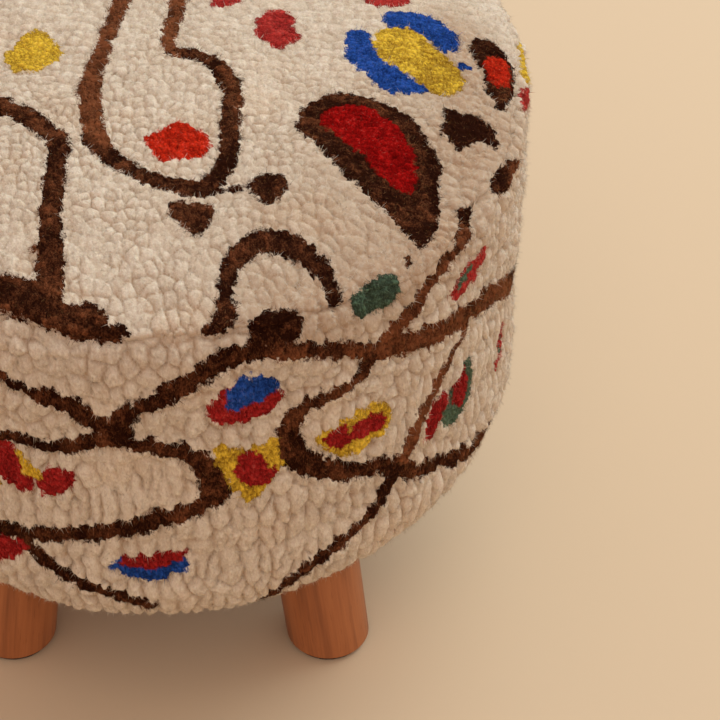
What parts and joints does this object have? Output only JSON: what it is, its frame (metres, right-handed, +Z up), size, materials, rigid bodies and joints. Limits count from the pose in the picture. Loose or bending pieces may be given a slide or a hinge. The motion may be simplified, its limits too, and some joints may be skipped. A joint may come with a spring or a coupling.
{
  "type": "moroccan kursi stool",
  "caption": "Round padded stool covered in a deep hand-knotted wool rug with a crowned seat, on short splayed turned wooden legs.",
  "frame": {"origin": "centre of the four feet, on the floor, under the axis of the round seat", "axes": "+Z up along the axis of the drum; +Y away from the viewer of the picture; the legs stand on the diagonals between X and Y"},
  "size_m": [0.424, 0.424, 0.382],
  "materials": {
    "wool_rug": "deep hand-knotted wool pile, cream ground with dark brown lines and small coloured patches",
    "leg_wood": "reddish brown hardwood, satin",
    "plywood": "raw birch plywood",
    "softwood": "planed pine",
    "hardboard": "raw hardboard",
    "foam": "open-cell upholstery foam",
    "dust_cloth": "black spunbonded cloth",
    "felt": "dark brown pressed felt",
    "zinc_steel": "bright zinc plating"
  },
  "bodies": {
    "root": {"base_board": "plywood", "top_board": "plywood", "frame_post_1": "softwood", "frame_post_2": "softwood", "frame_post_3": "softwood", "frame_post_4": "softwood", "frame_post_5": "softwood", "frame_post_6": "softwood", "side_wall": "hardboard", "side_foam": "foam", "seat_foam": "foam", "cover_top_panel": "wool_rug", "cover_side_band": "wool_rug", "dust_cover": "dust_cloth", "leg_1": "leg_wood", "hanger_bolt_1": "zinc_steel", "leg_plate_1": "zinc_steel", "plate_nut_1": "zinc_steel", "felt_pad_1": "felt", "leg_2": "leg_wood", "hanger_bolt_2": "zinc_steel", "leg_plate_2": "zinc_steel", "plate_nut_2": "zinc_steel", "felt_pad_2": "felt", "leg_3": "leg_wood", "hanger_bolt_3": "zinc_steel", "leg_plate_3": "zinc_steel", "plate_nut_3": "zinc_steel", "felt_pad_3": "felt", "leg_4": "leg_wood", "hanger_bolt_4": "zinc_steel", "leg_plate_4": "zinc_steel", "plate_nut_4": "zinc_steel", "felt_pad_4": "felt"}
  },
  "joints": []
}
